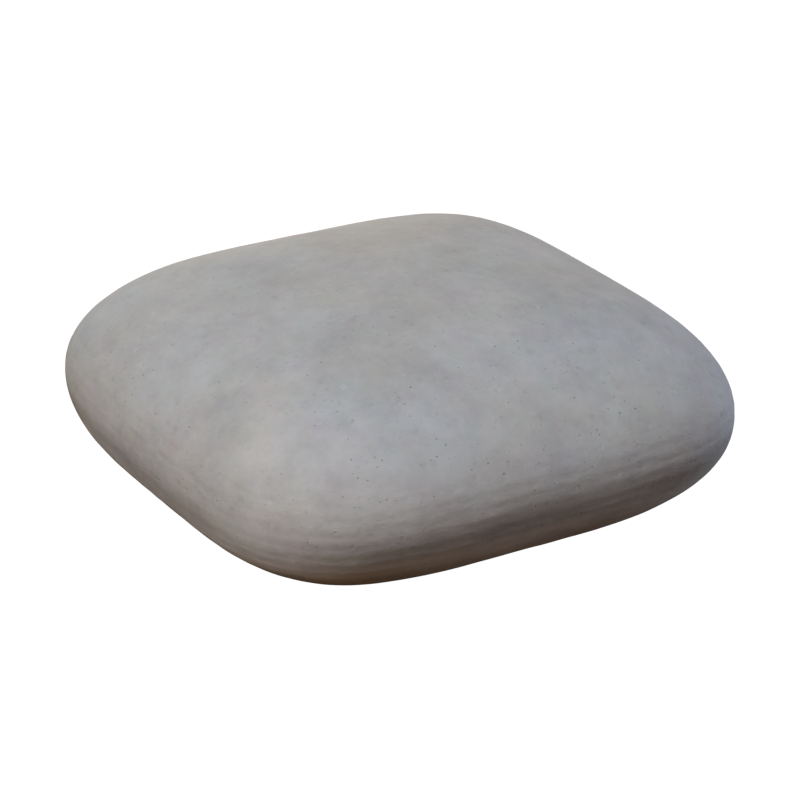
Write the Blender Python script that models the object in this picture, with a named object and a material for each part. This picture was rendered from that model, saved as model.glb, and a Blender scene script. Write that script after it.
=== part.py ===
"""River pebble: one water-worn grey stone, pillow shaped, with low bedding ledges round its waist.

Metres, +Z up. The stone lies on the small flat worn into its belly: that flat is at z = 0, and
the origin is under the middle of the stone. Its longest side runs along X, its shortest along Z.

The stone is a dome (the crown) on a bowl (the belly). They meet at the waist, a rounded square
seen from above. A place on the skin is given by a turn from the top pole (0 at the top, half a
turn at the bottom) and by a heading round the upright axis.
"""
import math

import bmesh
import bpy
from mathutils import Vector, noise

MM = 0.001

# Overall size
HALF_LENGTH = 32.0 * MM
HALF_WIDTH = 30.5 * MM
CROWN_HEIGHT = 15.0 * MM
BELLY_DEPTH = 15.9 * MM
REST_WEAR = 0.6 * MM

# Plan: a power of 2 would be an ellipse, more is squarer. The sides taper and are slightly askew.
PLAN_POWER = 4.1
TAPER = (0.020, 0.006)
SKEW = -0.035

# Upright section: how full each half is, 2 being an ellipse
CROWN_POWER = 2.2
BELLY_POWER = 2.1

# Rise of the waist and the crown, per metre along X and Y; the belly rests level
SLOPE = Vector((0.016, 0.040))

# Bedding ledges: low steps round the flank, each a lip over a groove
LEDGES = 6
LEDGE_STEP = 1.55 * MM
LEDGE_DEPTH = 0.05 * MM
TOP_LIP = 2.75 * MM
ROWS_PER_LEDGE = 3
FADE_SPACING = 9.0 * MM

# Shallow swells and hollows left by wear
SWELL_DEPTH = 0.10 * MM
SWELL_SPACING = 11.0 * MM

# Mesh: a box of quads wrapped round the stone, with its edges at the shoulder and the hip
COLUMNS = 24
SHOULDER_TURN = math.radians(50)
HIP_TURN = math.radians(130)
SHOULDER_ROWS = 6
HIP_ROWS = 3

STONE_GREY = (0.33, 0.33, 0.325, 1.0)
STONE_ROUGHNESS = 0.72


def clear_scene():
    for thing in list(bpy.data.objects):
        bpy.data.objects.remove(thing, do_unlink=True)


def stone_material():
    material = bpy.data.materials.new("grey river stone")
    material.use_nodes = True
    shader = material.node_tree.nodes["Principled BSDF"]
    shader.inputs["Base Color"].default_value = STONE_GREY
    shader.inputs["Roughness"].default_value = STONE_ROUGHNESS
    shader.inputs["Metallic"].default_value = 0.0
    return material


def waist_point(heading):
    """Where the waist lies, seen from above."""
    across, along = math.cos(heading), math.sin(heading)
    squared = abs(across / HALF_LENGTH) ** PLAN_POWER + abs(along / HALF_WIDTH) ** PLAN_POWER
    x, y = Vector((across, along)) * squared ** (-1 / PLAN_POWER)
    narrowing = 1 + (TAPER[0] * x + TAPER[1] * y) / HALF_LENGTH
    return Vector((x, y + SKEW * x)) / narrowing


def skin_point(turn, heading):
    """A point on the smooth stone, before its relief is pressed in."""
    flat = waist_point(heading) * math.sin(turn)
    rise = SLOPE.dot(flat)
    if turn <= math.pi / 2:
        fullness = math.cos(turn) ** (2 / CROWN_POWER)
        return Vector((*flat, CROWN_HEIGHT * fullness + rise))
    fullness = abs(math.cos(turn)) ** (2 / BELLY_POWER)
    return Vector((*flat, rise * (1 - fullness) - BELLY_DEPTH * fullness))


def turn_at_level(level):
    """The turn at which the skin is this far above the waist (or below it, if negative)."""
    if level >= 0:
        return math.acos((level / CROWN_HEIGHT) ** (CROWN_POWER / 2))
    return math.pi - math.acos((-level / BELLY_DEPTH) ** (BELLY_POWER / 2))


def flank_rows():
    """(turn, wave) for each row down the flank: wave is 1 on a lip, lower in its groove."""
    ledge_rows = []
    for i in range(LEDGES * ROWS_PER_LEDGE + 1):
        turn = turn_at_level(TOP_LIP - i * LEDGE_STEP / ROWS_PER_LEDGE)
        ledge_rows.append((turn, math.cos(2 * math.pi * i / ROWS_PER_LEDGE)))
    first, last = ledge_rows[0][0], ledge_rows[-1][0]
    rows = [(SHOULDER_TURN + (first - SHOULDER_TURN) * i / SHOULDER_ROWS, 0.0)
            for i in range(SHOULDER_ROWS)]
    rows += ledge_rows
    rows += [(last + (HIP_TURN - last) * (i + 1) / HIP_ROWS, 0.0) for i in range(HIP_ROWS)]
    return rows


def box_of_quads(row_count):
    """A cube from -1 to 1: COLUMNS quads along each level edge, row_count quads down each side."""
    box = bmesh.new()
    bmesh.ops.create_cube(box, size=2)
    upright = [e for e in box.edges if abs(e.verts[0].co.z - e.verts[1].co.z) > 1]
    bmesh.ops.subdivide_edges(box, edges=upright, cuts=row_count - 1, use_grid_fill=True)
    level = [e for e in box.edges if abs(e.verts[0].co.z - e.verts[1].co.z) < 1e-6]
    bmesh.ops.subdivide_edges(box, edges=level, cuts=COLUMNS - 1, use_grid_fill=True)
    return box


def wrap(box, rows):
    """Move the box's points onto the smooth stone, and return how far up a lip each one is."""
    waves = {}
    for vert in box.verts:
        x, y, z = vert.co
        square = max(abs(x), abs(y))
        if square > 1 - 1e-6:
            turn, waves[vert] = rows[round((1 - z) / 2 * (len(rows) - 1))]
        else:
            turn = square * SHOULDER_TURN if z > 0 else math.pi - square * (math.pi - HIP_TURN)
            waves[vert] = 0.0
        vert.co = skin_point(turn, math.atan2(y, x))
    return waves


def press_relief(stone, waves):
    """Raise lips and swells along the skin's normals. Each bed fades in and out on its way round."""
    stone.normal_update()
    moves = {}
    for vert in stone.verts:
        fade = 0.65 + 0.7 * noise.noise(vert.co / FADE_SPACING)
        ledge = LEDGE_DEPTH / 2 * waves[vert] * fade
        swell = SWELL_DEPTH * noise.noise(vert.co / SWELL_SPACING)
        moves[vert] = vert.normal * (ledge + swell)
    for vert, move in moves.items():
        vert.co += move


def wear_flat(stone):
    """Wear the lowest part of the belly to one level, and stand the stone on it at the origin."""
    floor = min(v.co.z for v in stone.verts) + REST_WEAR
    for vert in stone.verts:
        vert.co.z = max(vert.co.z, floor)
    xs = [v.co.x for v in stone.verts]
    ys = [v.co.y for v in stone.verts]
    middle = Vector(((min(xs) + max(xs)) / 2, (min(ys) + max(ys)) / 2, floor))
    bmesh.ops.translate(stone, verts=stone.verts, vec=-middle)


def make_pebble():
    rows = flank_rows()
    stone = box_of_quads(len(rows) - 1)
    waves = wrap(stone, rows)
    press_relief(stone, waves)
    wear_flat(stone)
    mesh = bpy.data.meshes.new("pebble")
    stone.to_mesh(mesh)
    stone.free()
    mesh.shade_smooth()
    mesh.materials.append(stone_material())
    pebble = bpy.data.objects.new("pebble", mesh)
    bpy.context.scene.collection.objects.link(pebble)


clear_scene()
make_pebble()
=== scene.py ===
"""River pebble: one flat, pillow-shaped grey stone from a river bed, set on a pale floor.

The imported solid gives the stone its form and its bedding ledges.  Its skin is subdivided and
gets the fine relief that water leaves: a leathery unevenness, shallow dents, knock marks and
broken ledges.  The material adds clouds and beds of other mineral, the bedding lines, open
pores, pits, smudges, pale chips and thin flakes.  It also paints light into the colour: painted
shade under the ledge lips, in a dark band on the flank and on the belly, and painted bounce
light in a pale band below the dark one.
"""

import math

import bmesh
import bpy
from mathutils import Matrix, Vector


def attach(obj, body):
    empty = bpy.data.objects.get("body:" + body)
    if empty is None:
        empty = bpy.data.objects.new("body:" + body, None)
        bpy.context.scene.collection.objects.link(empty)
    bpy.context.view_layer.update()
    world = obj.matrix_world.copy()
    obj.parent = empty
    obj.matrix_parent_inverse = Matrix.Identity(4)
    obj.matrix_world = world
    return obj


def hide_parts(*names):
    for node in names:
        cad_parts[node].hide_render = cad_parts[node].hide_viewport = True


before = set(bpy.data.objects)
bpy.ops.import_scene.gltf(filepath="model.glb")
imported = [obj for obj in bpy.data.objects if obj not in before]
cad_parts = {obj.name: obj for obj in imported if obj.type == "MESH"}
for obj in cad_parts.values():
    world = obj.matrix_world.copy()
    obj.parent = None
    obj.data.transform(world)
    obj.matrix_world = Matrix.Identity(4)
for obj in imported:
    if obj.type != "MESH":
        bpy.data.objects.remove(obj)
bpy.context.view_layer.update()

MM = 0.001

# The stone's bedding: level planes that rise slightly towards +X and +Y.
WAIST_CENTRE = Vector((0.67 * MM, -0.04 * MM, 15.3 * MM))
BEDDING_RISE = (0.016, 0.040)
LEDGE_STEP = 1.55 * MM
TOP_LIP = 2.75 * MM
LEDGE_WANDER = 0.10
LEDGE_WANDER_SPACING = 7.0 * MM
LAYER_STRETCH = 1.6

# The skin.  Its ledges are worn down towards -X.
WORN_FROM = -25.0 * MM
WORN_FULL = -29.0 * MM
LEDGE_WEAR = 0.7
LOWEST_LEDGE = 10.0 * MM
HIGHEST_LEDGE = 18.5 * MM
MERGE_DISTANCE = 0.001 * MM
SUBDIVISIONS = 2

# The stone's finish.  Shades are shares of its brightness.
STONE_COLOUR = (0.36, 0.36, 0.36, 1.0)
CLOUD_CONTRAST = 0.145
HUE_CONTRAST = 0.16
FLAKE_HEIGHT = 0.010 * MM
PIT_DEPTH = 0.026 * MM
RIM_HEIGHT = PIT_DEPTH * 0.3
PORE_DEPTH = 0.05 * MM
CHIP_HEIGHT = 0.012 * MM
SEAM_DEPTH = 0.008 * MM
STREAK_HEIGHT = 0.008 * MM
STREAK_STRETCH = 2.0
STREAK_WEAR = 0.45
STREAK_SHADE = 0.052
# Painted shade under the ledge lips.
SEAM_PAINTED_SHADE = 0.06
SMUDGE_SHADE = 0.10
PIT_SHADE = 0.07
RIM_SHADE = 0.03
CHIP_SHADE = 0.10
PORE_SHADE = 0.46

# Scattered marks: their spacing, a shift in mm that sets where they fall, the width of the
# widest, and the share of places that hold one.
PORE_SIZES = {"spacing": 0.70 * MM, "shift": 11.0, "widest": 0.28 * MM}
PITS = {"spacing": 1.3 * MM, "shift": 23.0, "widest": 0.85 * MM, "share": 0.60}
SMUDGES = {"spacing": 1.5 * MM, "shift": 37.0, "widest": 1.3 * MM, "share": 0.50}
CHIPS = {"spacing": 2.2 * MM, "shift": 53.0, "widest": 0.9 * MM, "share": 0.40}
KNOCK_SHARE = 0.6
KNOCK_SHIFT = 5.0

# The camera: a long lens, looking down on one corner.
CAMERA_AZIMUTH = math.radians(-31.69)
CAMERA_ELEVATION = math.radians(23.01)
CAMERA_DISTANCE = 336.0 * MM
CAMERA_AIM = Vector((0.0, 0.0, 15.0 * MM))
CAMERA_SIDESTEP = 0.567 * MM
CAMERA_LIFT = -0.971 * MM
LENS = 135.0

# Soft lights round the stone: turn from the camera towards its right and height in degrees,
# width of the light in degrees, and what it adds to a face turned to it, in red, green, blue.
LIGHTS = {
    "key": (-43.0, 36.0, 32.0, (0.257, 0.258, 0.249)),
    "low_front": (-30.0, -11.0, 24.0, (0.056, 0.025, 0.013)),
    "right_rear": (124.0, -9.0, 24.0, (0.133, 0.143, 0.170)),
    "right_top": (60.0, 65.0, 46.0, (0.128, 0.139, 0.164)),
    "rear": (187.0, 12.0, 24.0, (0.128, 0.105, 0.077)),
}
SKY = (0.051, 0.048, 0.046)
GROUND = (0.015, 0.012, 0.006)
REFERENCE_GREY = 0.36
WHITE = {"Color": (1.0, 1.0, 1.0, 1.0), "Strength": 1.05}
FLOOR_REACH = 2.0

# Bands round the stone: the crown bed is other mineral; on the flank a dark band is painted shade
# and a pale band below it is painted bounce light. Height above the waist and half thickness in
# mm, and tint.
BEDS_AND_PAINTED_LIGHT_BANDS = {
    "painted_shade_band": (-2.0, 2.5, (0.75, 0.72, 0.70)),
    "painted_bounce_light_band": (-5.0, 2.0, (1.20, 1.20, 1.20)),
    "crown_bed": (14.0, 4.0, (0.95, 0.94, 0.92)),
}
BED_REACH = 13.0 * MM

# Slow drifts across the stone, from cool to warm grey and from dark to pale.
DRIFT_SPACING = 12.0 * MM
DRIFT_CONTRAST = 0.05
COOL_TINT = (0.98, 1.00, 1.02, 1.0)
WARM_TINT = (1.02, 1.00, 0.98, 1.0)

# Where the pores lie closest together: centre in mm, and reach across and up in mm.
PORE_FIELD = ((3.0, -25.0, 18.0), 17.0, 12.0)
# Painted shade on the belly, darker and browner towards the bottom: its tint, the height where it
# begins, and the height where it is full.
BELLY_PAINTED_SHADE = (0.75, 0.65, 0.55)
BELLY_PAINTED_SHADE_TOP = 9.5 * MM
BELLY_PAINTED_SHADE_FULL = 5.0 * MM


class Signal:
    """A node's output that Python's own operators work on; each one adds a Math node."""

    def __init__(self, graph, socket):
        self.graph = graph
        self.socket = socket

    def math(self, operation, *values):
        inputs = {0: self}
        inputs.update(enumerate(values, start=1))
        return self.graph.add("ShaderNodeMath", {"operation": operation}, inputs)

    def __add__(self, other):
        return self.math("ADD", other)

    def __radd__(self, other):
        return self.math("ADD", other)

    def __sub__(self, other):
        return self.math("SUBTRACT", other)

    def __rsub__(self, other):
        return (self * -1.0) + other

    def __mul__(self, other):
        return self.math("MULTIPLY", other)

    def __rmul__(self, other):
        return self.math("MULTIPLY", other)

    def __truediv__(self, other):
        return self.math("DIVIDE", other)

    def __rtruediv__(self, other):
        return self.math("POWER", -1.0) * other

    def __neg__(self):
        return self * -1.0


class Graph:
    """A node tree that grows by one node a call."""

    def __init__(self, tree):
        self.tree = tree

    def add(self, kind, settings=None, inputs=None, output=0):
        """One node of a kind: its settings first, then the values or links of its sockets."""
        node = self.tree.nodes.new(kind)
        for name, value in (settings or {}).items():
            setattr(node, name, value)
        for key, value in (inputs or {}).items():
            socket = self.pick(node.inputs, key)
            if isinstance(value, Signal):
                self.tree.links.new(value.socket, socket)
            else:
                socket.default_value = value
        return Signal(self, self.pick(node.outputs, output)) if len(node.outputs) else node

    @staticmethod
    def pick(sockets, key):
        if isinstance(key, int):
            return sockets[key]
        for socket in sockets:
            if socket.identifier == key:
                return socket
        return sockets[key]

    def sibling(self, signal, key):
        """Another output of the node that a signal comes from."""
        return Signal(self, self.pick(signal.socket.node.outputs, key))

    def noise(self, place, spacing, seed, detail=0.0, roughness=0.5, warp=0.0):
        """Cloudy values from about -1 to 1, with blobs of one size."""
        settings = {"noise_dimensions": "4D"}
        inputs = {"Vector": place, "W": seed, "Scale": 1.0 / spacing, "Detail": detail,
                  "Roughness": roughness, "Distortion": warp}
        return (self.add("ShaderNodeTexNoise", settings, inputs) - 0.5) * 4.0

    def ramp(self, value, low, high, to_low=0.0, to_high=1.0):
        """A smooth, clamped step from one value to another."""
        settings = {"interpolation_type": "SMOOTHSTEP"}
        inputs = {"Value": value, "From Min": low, "From Max": high,
                  "To Min": to_low, "To Max": to_high}
        return self.add("ShaderNodeMapRange", settings, inputs)

    def tint(self, factor, first, second, blend="MIX"):
        """One colour over another, by a factor from 0 to 1."""
        settings = {"data_type": "RGBA", "blend_type": blend}
        inputs = {"Factor_Float": factor, "A_Color": first, "B_Color": second}
        return self.add("ShaderNodeMix", settings, inputs, "Result_Color")

    def along_bedding(self, place, stretch):
        """A place whose noises come out stretched along the bedding, and thin across it."""
        parts = self.add("ShaderNodeSeparateXYZ", None, {0: place})
        along = {"X": parts / stretch, "Y": self.sibling(parts, "Y") / stretch,
                 "Z": self.bedding_level(place)}
        return self.add("ShaderNodeCombineXYZ", None, along)

    def bedding_level(self, place):
        """Height above the stone's waist, along its slightly tilted bedding."""
        waist = self.add("ShaderNodeVectorMath", {"operation": "SUBTRACT"},
                         {0: place, 1: WAIST_CENTRE})
        across = (-BEDDING_RISE[0], -BEDDING_RISE[1], 1.0)
        return self.add("ShaderNodeVectorMath", {"operation": "DOT_PRODUCT"},
                        {0: waist, 1: across}, "Value")


def skin_relief_tree():
    """Geometry nodes that subdivide a skin and press the fine relief into it."""
    tree = bpy.data.node_groups.new("water_worn_relief", "GeometryNodeTree")
    tree.interface.new_socket("Geometry", in_out="OUTPUT", socket_type="NodeSocketGeometry")
    tree.interface.new_socket("Geometry", in_out="INPUT", socket_type="NodeSocketGeometry")
    sizes = ("Leather depth", "Leather spacing", "Dent depth", "Dent spacing", "Knock depth",
             "Knock spacing", "Knock width", "Ledge depth", "Ledge step", "Top lip", "Seed")
    for name in sizes:
        tree.interface.new_socket(name, in_out="INPUT", socket_type="NodeSocketFloat")
    tree.interface.new_socket("Stone", in_out="INPUT", socket_type="NodeSocketMaterial")
    tree.interface.new_socket("Levels", in_out="INPUT", socket_type="NodeSocketInt")
    g = Graph(tree)
    given = g.add("NodeGroupInput")
    size = {item.name: g.sibling(given, item.name) for item in tree.interface.items_tree
            if item.in_out == "INPUT"}
    fine = g.add("GeometryNodeSubdivisionSurface", None,
                 {"Mesh": size["Geometry"], "Level": size["Levels"]})
    place = g.add("GeometryNodeInputPosition")
    normal = g.add("GeometryNodeInputNormal")
    parts = g.add("ShaderNodeSeparateXYZ", None, {0: normal})
    facing_up = g.sibling(parts, "Z")
    upright = 1.0 - facing_up * facing_up
    height = g.sibling(g.add("ShaderNodeSeparateXYZ", None, {0: place}), "Z")
    off_floor = g.ramp(height, 0.2 * MM, 1.5 * MM)

    layered = g.along_bedding(place, LAYER_STRETCH)
    leather = g.noise(layered, size["Leather spacing"], size["Seed"], 1.0)
    dents = g.noise(place, size["Dent spacing"], size["Seed"] + 5.0, 1.0)
    level = g.bedding_level(place)
    wander = g.noise(place, LEDGE_WANDER_SPACING, size["Seed"] + 9.0, 2.0)
    turn = (level - size["Top lip"]) / size["Ledge step"] + wander * LEDGE_WANDER
    wave = (turn * (2.0 * math.pi)).math("COSINE")
    broken = g.ramp(g.noise(place, 3.5 * MM, size["Seed"] + 13.0, 2.0), -0.9, 0.9)
    knock_away, knock_used = scatter(g, place, size["Knock spacing"], KNOCK_SHIFT,
                                     size["Knock width"], KNOCK_SHARE)
    knocks = g.ramp(knock_away, 1.0, 0.1) * knock_used
    relief = (leather * size["Leather depth"] * (0.3 + upright * 0.7)
              + dents * size["Dent depth"] - knocks * size["Knock depth"]
              + wave * broken * size["Ledge depth"] * g.ramp(upright, 0.45, 0.85))
    offset = g.add("ShaderNodeVectorMath", {"operation": "SCALE"},
                   {0: normal, "Scale": relief * off_floor})
    pressed = g.add("GeometryNodeSetPosition", None, {"Geometry": fine, "Offset": offset})
    smooth = g.add("GeometryNodeSetShadeSmooth", None, {0: pressed})
    real = g.add("GeometryNodeRealizeInstances", None, {0: smooth})
    painted = g.add("GeometryNodeSetMaterial", None, {"Geometry": real, "Material": size["Stone"]})
    g.add("NodeGroupOutput", None, {0: painted})
    return tree


def scatter(g, place, spacing, shift, widest, share):
    """Distance from the nearest of a scatter of points, in radii, and whether it is used."""
    moved = g.add("ShaderNodeVectorMath", {"operation": "ADD"}, {0: place, 1: (shift * MM,) * 3})
    cells = g.add("ShaderNodeTexVoronoi", None, {"Vector": moved, "Scale": 1.0 / spacing},
                  "Distance")
    chance = g.add("ShaderNodeSeparateXYZ", None, {0: g.sibling(cells, "Color")})
    chosen = g.ramp(chance, share + 0.01, share - 0.01)
    radius = (g.sibling(chance, "Y") * 0.6 + 0.4) * (widest / 2.0 / spacing)
    strength = g.sibling(chance, "Z") * 0.6 + 0.4
    return cells / radius, chosen * strength


def soft_region(g, place, centre, reach, height):
    """How far inside a soft round region a place is: 1 in its middle, fading out."""
    across = 1.0 / (math.sqrt(2.0) * reach * MM)
    up = 1.0 / (math.sqrt(2.0) * height * MM)
    away = g.add("ShaderNodeVectorMath", {"operation": "SUBTRACT"},
                 {0: place, 1: [part * MM for part in centre]})
    scaled = g.add("ShaderNodeVectorMath", {"operation": "MULTIPLY"},
                   {0: away, 1: (across, across, up)})
    squared = g.add("ShaderNodeVectorMath", {"operation": "DOT_PRODUCT"},
                    {0: scaled, 1: scaled}, "Value")
    return (-squared).math("EXPONENT")


def river_stone():
    """Matte water-worn stone: clouds, beds, bedding lines, pores, pits, smudges and chips, with
    painted shade and painted bounce light in bands on the flank, under the ledge lips and on the
    belly.
    """
    material = bpy.data.materials.new("river_stone_grey")
    material.use_nodes = True
    tree = material.node_tree
    tree.nodes.clear()
    g = Graph(tree)
    place = g.add("ShaderNodeTexCoord", None, None, "Object")

    # Mineral that drifts from cool to warm grey.
    warmth = g.ramp(g.noise(place, DRIFT_SPACING, 83.0, 1.0), -0.9, 0.9)
    colour = g.tint(1.0, STONE_COLOUR, g.tint(warmth, COOL_TINT, WARM_TINT), "MULTIPLY")

    # A bed of other mineral on the crown, a band of painted shade and a band of painted bounce
    # light on the flank, and painted shade on the belly, all with ragged edges.
    raggedness = g.add("ShaderNodeTexNoise", None,
                       {"Vector": place, "Scale": 1.0 / (3.0 * MM), "Detail": 4.0,
                        "Roughness": 0.65}, "Color")
    shove = g.add("ShaderNodeVectorMath", {"operation": "MULTIPLY_ADD"},
                  {0: raggedness, 1: (6.0 * MM, 6.0 * MM, 2.0 * MM),
                   2: (-3.0 * MM, -3.0 * MM, -1.0 * MM)})
    ragged = g.add("ShaderNodeVectorMath", {"operation": "ADD"}, {0: place, 1: shove})
    bed_level = g.bedding_level(ragged)
    for seed, (middle, half, tint) in enumerate(BEDS_AND_PAINTED_LIGHT_BANDS.values(), start=91):
        from_middle = (bed_level - middle * MM).math("ABSOLUTE")
        present = g.ramp(g.noise(place, BED_REACH, float(seed), 1.0), -0.6, 0.4)
        weight = g.ramp(from_middle, half * MM, 0.0) * present
        colour = g.tint(weight, colour, (*tint, 1.0), "MULTIPLY")
    low = g.sibling(g.add("ShaderNodeSeparateXYZ", None, {0: ragged}), "Z")
    # Painted shade: darker and browner towards the bottom, where the underside is in shade.
    belly_painted_shade = g.ramp(low, BELLY_PAINTED_SHADE_TOP, BELLY_PAINTED_SHADE_FULL)
    colour = g.tint(belly_painted_shade, colour, (*BELLY_PAINTED_SHADE, 1.0), "MULTIPLY")

    # Mineral clouds, from broad patches down to grain, in shade and in hue.
    clouds = g.noise(place, 5.0 * MM, 2.0, 4.5, 0.74)
    shade = (1.0 + clouds * CLOUD_CONTRAST
             + g.noise(place, DRIFT_SPACING, 87.0, 1.0) * DRIFT_CONTRAST)
    hues = g.add("ShaderNodeTexNoise", {"noise_dimensions": "4D"},
                 {"Vector": place, "W": 7.0, "Scale": 1.0 / (3.0 * MM), "Detail": 3.4,
                  "Roughness": 0.72}, "Color")
    hue_change = g.add("ShaderNodeVectorMath", {"operation": "MULTIPLY_ADD"},
                       {0: hues, 1: (HUE_CONTRAST,) * 3, 2: (1.0 - HUE_CONTRAST / 2.0,) * 3})
    colour = g.add("ShaderNodeVectorMath", {"operation": "MULTIPLY"}, {0: colour, 1: hue_change})

    # Bedding lines in the flank: narrow seams under each ledge's lip, pressed in as grooves and
    # darkened with painted shade where the lip shades them.
    level = g.bedding_level(place)
    wander = g.noise(place, LEDGE_WANDER_SPACING, 9.0, 2.0)
    turn = (level - TOP_LIP) / LEDGE_STEP + wander * LEDGE_WANDER
    seam = g.ramp((turn * (2.0 * math.pi)).math("COSINE"), -0.2, -1.0)
    in_flank = g.ramp(level.math("ABSOLUTE"), 6.5 * MM, 3.0 * MM)
    streaky = g.ramp(g.noise(place, 2.5 * MM, 11.0, 2.0), -0.4, 1.0)
    seams_and_painted_shade = seam * in_flank * streaky
    # Thin broken streaks of lighter and darker mineral, along the bedding.
    streak_place = g.along_bedding(place, STREAK_STRETCH)
    unworn = g.ramp(g.add("ShaderNodeSeparateXYZ", None, {0: place}), WORN_FULL, WORN_FROM,
                    1.0 - STREAK_WEAR, 1.0)
    streaks = (g.noise(streak_place, 0.8 * MM, 71.0, 2.0, 0.6) * unworn
               * (in_flank * 0.9 + 0.1))

    # Places that are a little off round: the outlines of pits, smudges and flakes.
    crumple = g.add("ShaderNodeTexNoise", None,
                    {"Vector": place, "Scale": 1.0 / (0.35 * MM), "Detail": 2.0}, "Color")
    nudge = g.add("ShaderNodeVectorMath", {"operation": "MULTIPLY_ADD"},
                  {0: crumple, 1: (0.5 * MM,) * 3, 2: (-0.25 * MM,) * 3})
    crumpled = g.add("ShaderNodeVectorMath", {"operation": "ADD"}, {0: place, 1: nudge})

    # Open pores, dark inside, in loose groups and closer together on one side.
    porous = soft_region(g, place, *PORE_FIELD) * 0.7 + 0.42
    pore_share = g.ramp(g.noise(place, 4.0 * MM, 61.0, 1.0), -0.8, 0.8, 0.3, 1.0) * porous
    pore_away, pore_used = scatter(g, place, share=pore_share, **PORE_SIZES)
    pores = g.ramp(pore_away, 1.0, 0.4) * pore_used
    # Shallow pits, wider than the pores.
    pit_away, pit_used = scatter(g, crumpled, **PITS)
    pits = g.ramp(pit_away, 1.0, 0.3) * pit_used
    pit_rims = (g.ramp(pit_away, 1.5, 1.1) - g.ramp(pit_away, 1.1, 0.8)) * pit_used
    # Dark smudges and pale chips in the surface.
    smudge_away, smudge_used = scatter(g, crumpled, **SMUDGES)
    smudges = g.ramp(smudge_away, 1.0, 0.2) * smudge_used
    chip_away, chip_used = scatter(g, crumpled, **CHIPS)
    chips = g.ramp(chip_away, 1.0, 0.8) * chip_used
    # Flat flakes that the river has lifted from the skin.
    flake_place = g.along_bedding(place, LAYER_STRETCH)
    flakes = g.ramp(g.noise(flake_place, 0.9 * MM, 51.0, 2.0, 0.5), -0.25, 0.25)

    # The seams' darkening is painted shade under the ledge lips.
    shade = (shade + streaks * STREAK_SHADE - seams_and_painted_shade * SEAM_PAINTED_SHADE - smudges * SMUDGE_SHADE
             - pits * PIT_SHADE + pit_rims * RIM_SHADE + chips * CHIP_SHADE)
    shade = shade * (1.0 - pores * PORE_SHADE)
    colour = g.add("ShaderNodeVectorMath", {"operation": "SCALE"}, {0: colour, "Scale": shade})

    roughness = 0.72 + clouds * 0.06 + pores * 0.15
    height = (flakes * (in_flank * 0.6 + 0.4) * FLAKE_HEIGHT - pores * PORE_DEPTH
              - pits * PIT_DEPTH + pit_rims * RIM_HEIGHT + chips * CHIP_HEIGHT
              - seams_and_painted_shade * SEAM_DEPTH + streaks * STREAK_HEIGHT)
    normal = g.add("ShaderNodeBump", None, {"Height": height, "Distance": 1.0, "Strength": 1.0})
    stone = g.add("ShaderNodeBsdfPrincipled", None,
                  {"Base Color": colour, "Roughness": roughness, "Normal": normal,
                   "Specular IOR Level": 0.15})
    g.add("ShaderNodeOutputMaterial", None, {"Surface": stone})
    return material


def wear_ledges(skin):
    """Rubs the ledges down on the side where the river has worn them most."""
    rubbed = {}
    for vert in skin.verts:
        ahead = min(max((WORN_FROM - vert.co.x) / (WORN_FROM - WORN_FULL), 0.0), 1.0)
        around = [edge.other_vert(vert).co for edge in vert.link_edges]
        above = max(around, key=lambda co: co.z)
        below = min(around, key=lambda co: co.z)
        if LOWEST_LEDGE < vert.co.z < HIGHEST_LEDGE:
            level = (above + vert.co + below) / 3.0
            rubbed[vert] = vert.co.lerp(level, ahead * LEDGE_WEAR)
    for vert, co in rubbed.items():
        vert.co = co


def quad_skin(node, name):
    """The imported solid's skin, merged and with its triangles joined to quads."""
    skin = bmesh.new()
    skin.from_mesh(node.data)
    bmesh.ops.remove_doubles(skin, verts=skin.verts, dist=MERGE_DISTANCE)
    bmesh.ops.join_triangles(skin, faces=skin.faces[:], angle_face_threshold=math.pi,
                             angle_shape_threshold=math.pi, topology_influence=2.0)
    wear_ledges(skin)
    mesh = bpy.data.meshes.new(name)
    skin.to_mesh(mesh)
    skin.free()
    piece = bpy.data.objects.new(name, mesh)
    bpy.context.scene.collection.objects.link(piece)
    return piece


def bake_relief(piece, tree, values):
    """Runs a geometry tree on a piece, and leaves the result as its plain mesh."""
    modifier = piece.modifiers.new("relief", "NODES")
    modifier.node_group = tree
    for item in tree.interface.items_tree:
        if item.in_out == "INPUT" and item.name in values:
            modifier[item.identifier] = values[item.name]
    graph = bpy.context.evaluated_depsgraph_get()
    made = bpy.data.meshes.new_from_object(piece.evaluated_get(graph))
    piece.modifiers.remove(modifier)
    piece.data = made
    return piece


def make_pebble():
    piece = quad_skin(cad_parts["pebble"], "pebble_stone")
    values = {
        "Leather depth": 0.020 * MM,
        "Leather spacing": 0.9 * MM,
        "Dent depth": 0.025 * MM,
        "Dent spacing": 4.5 * MM,
        "Knock depth": 0.024 * MM,
        "Knock spacing": 3.2 * MM,
        "Knock width": 1.9 * MM,
        "Ledge depth": 0.009 * MM,
        "Ledge step": LEDGE_STEP,
        "Top lip": TOP_LIP,
        "Seed": 3.0,
        "Stone": river_stone(),
        "Levels": SUBDIVISIONS,
    }
    bake_relief(piece, skin_relief_tree(), values)
    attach(piece, "root")
    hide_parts("pebble")
    return piece


def camera_axes():
    """Unit vectors from the stone to the camera, to the camera's right, and up in its view."""
    level = math.cos(CAMERA_ELEVATION)
    back = Vector((math.sin(CAMERA_AZIMUTH) * level, -math.cos(CAMERA_AZIMUTH) * level,
                   math.sin(CAMERA_ELEVATION)))
    right = Vector((math.cos(CAMERA_AZIMUTH), math.sin(CAMERA_AZIMUTH), 0.0))
    return back, right, back.cross(right)


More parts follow.
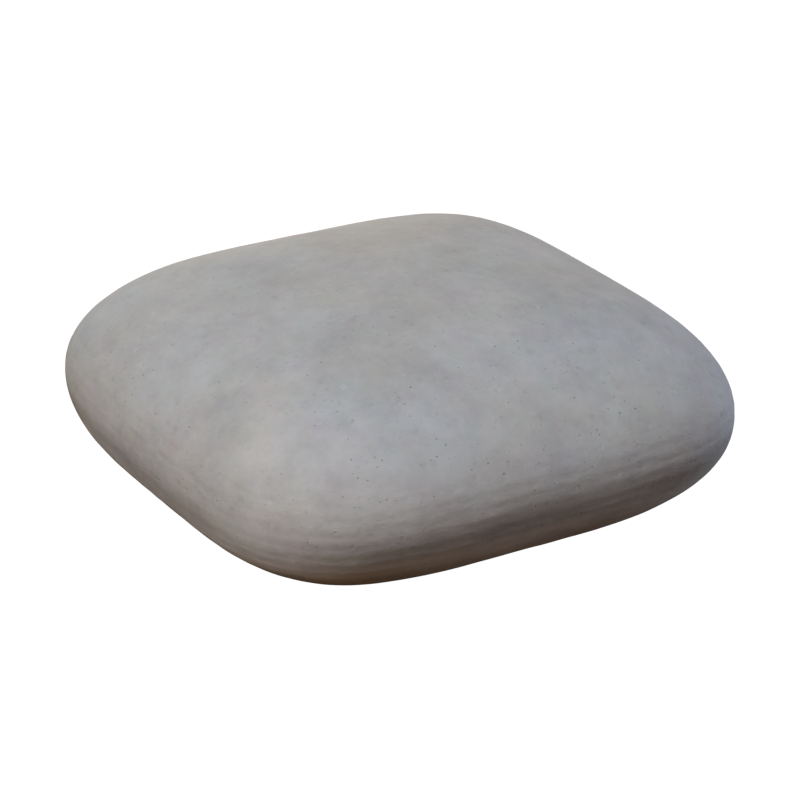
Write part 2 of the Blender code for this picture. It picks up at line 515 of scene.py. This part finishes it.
def make_camera():
    back, right, up = camera_axes()
    data = bpy.data.cameras.new("camera")
    data.lens = LENS
    data.clip_start = 10.0 * MM
    data.clip_end = 50.0
    camera = bpy.data.objects.new("camera", data)
    camera.location = (CAMERA_AIM + back * CAMERA_DISTANCE + right * CAMERA_SIDESTEP
                       + up * CAMERA_LIFT)
    camera.rotation_mode = "QUATERNION"
    camera.rotation_quaternion = (-back).to_track_quat("-Z", "Y")
    bpy.context.scene.collection.objects.link(camera)
    bpy.context.scene.camera = camera


def light_direction(turn, height):
    """From the stone to a light: turn from the camera towards its right, and height."""
    heading = CAMERA_AZIMUTH + math.radians(turn)
    rise = math.radians(height)
    return Vector((math.sin(heading) * math.cos(rise), -math.cos(heading) * math.cos(rise),
                   math.sin(rise)))


def make_lights():
    for name, (turn, height, width, adds) in LIGHTS.items():
        strongest = max(adds)
        data = bpy.data.lights.new(name, "SUN")
        data.angle = math.radians(width)
        data.energy = strongest * math.pi / REFERENCE_GREY
        data.color = [part / strongest for part in adds]
        light = bpy.data.objects.new(name, data)
        light.rotation_mode = "QUATERNION"
        light.rotation_quaternion = light_direction(turn, height).to_track_quat("Z", "Y")
        bpy.context.scene.collection.objects.link(light)


def make_surroundings():
    """A soft dim glow all round for the stone, and plain white for the camera."""
    world = bpy.data.worlds.new("studio")
    world.use_nodes = True
    world.node_tree.nodes.clear()
    bpy.context.scene.world = world
    g = Graph(world.node_tree)
    direction = g.add("ShaderNodeTexCoord", None, None, "Generated")
    height = g.sibling(g.add("ShaderNodeSeparateXYZ", None, {0: direction}), "Z")
    sky = [part / REFERENCE_GREY for part in SKY] + [1.0]
    ground = [part / REFERENCE_GREY for part in GROUND] + [1.0]
    glow = g.tint(g.ramp(height, -0.5, 0.5), ground, sky)
    soft = g.add("ShaderNodeBackground", None, {"Color": glow, "Strength": 1.0})
    white = g.add("ShaderNodeBackground", None, WHITE)
    seen = g.add("ShaderNodeLightPath", None, None, "Is Camera Ray")
    both = g.add("ShaderNodeMixShader", None, {0: seen, 1: soft, 2: white})
    g.add("ShaderNodeOutputWorld", None, {"Surface": both})


def make_floor():
    """A plain white floor. It neither lights nor shades the stone, and is open from below."""
    mesh = bpy.data.meshes.new("floor")
    signs = ((-1, -1), (1, -1), (1, 1), (-1, 1))
    corners = [(x * FLOOR_REACH, y * FLOOR_REACH, 0.0) for x, y in signs]
    mesh.from_pydata(corners, [], [(0, 1, 2, 3)])
    material = bpy.data.materials.new("floor_white")
    material.use_nodes = True
    material.node_tree.nodes.clear()
    g = Graph(material.node_tree)
    below = g.add("ShaderNodeNewGeometry", None, None, "Backfacing")
    white = g.add("ShaderNodeEmission", None, WHITE)
    clear = g.add("ShaderNodeBsdfTransparent")
    both = g.add("ShaderNodeMixShader", None, {0: below, 1: white, 2: clear})
    g.add("ShaderNodeOutputMaterial", None, {"Surface": both})
    mesh.materials.append(material)
    floor = bpy.data.objects.new("floor", mesh)
    floor.visible_diffuse = False
    floor.visible_glossy = False
    floor.visible_transmission = False
    floor.visible_shadow = False
    bpy.context.scene.collection.objects.link(floor)


bpy.context.scene.view_settings.view_transform = "Standard"
make_camera()
make_pebble()
make_lights()
make_surroundings()
make_floor()
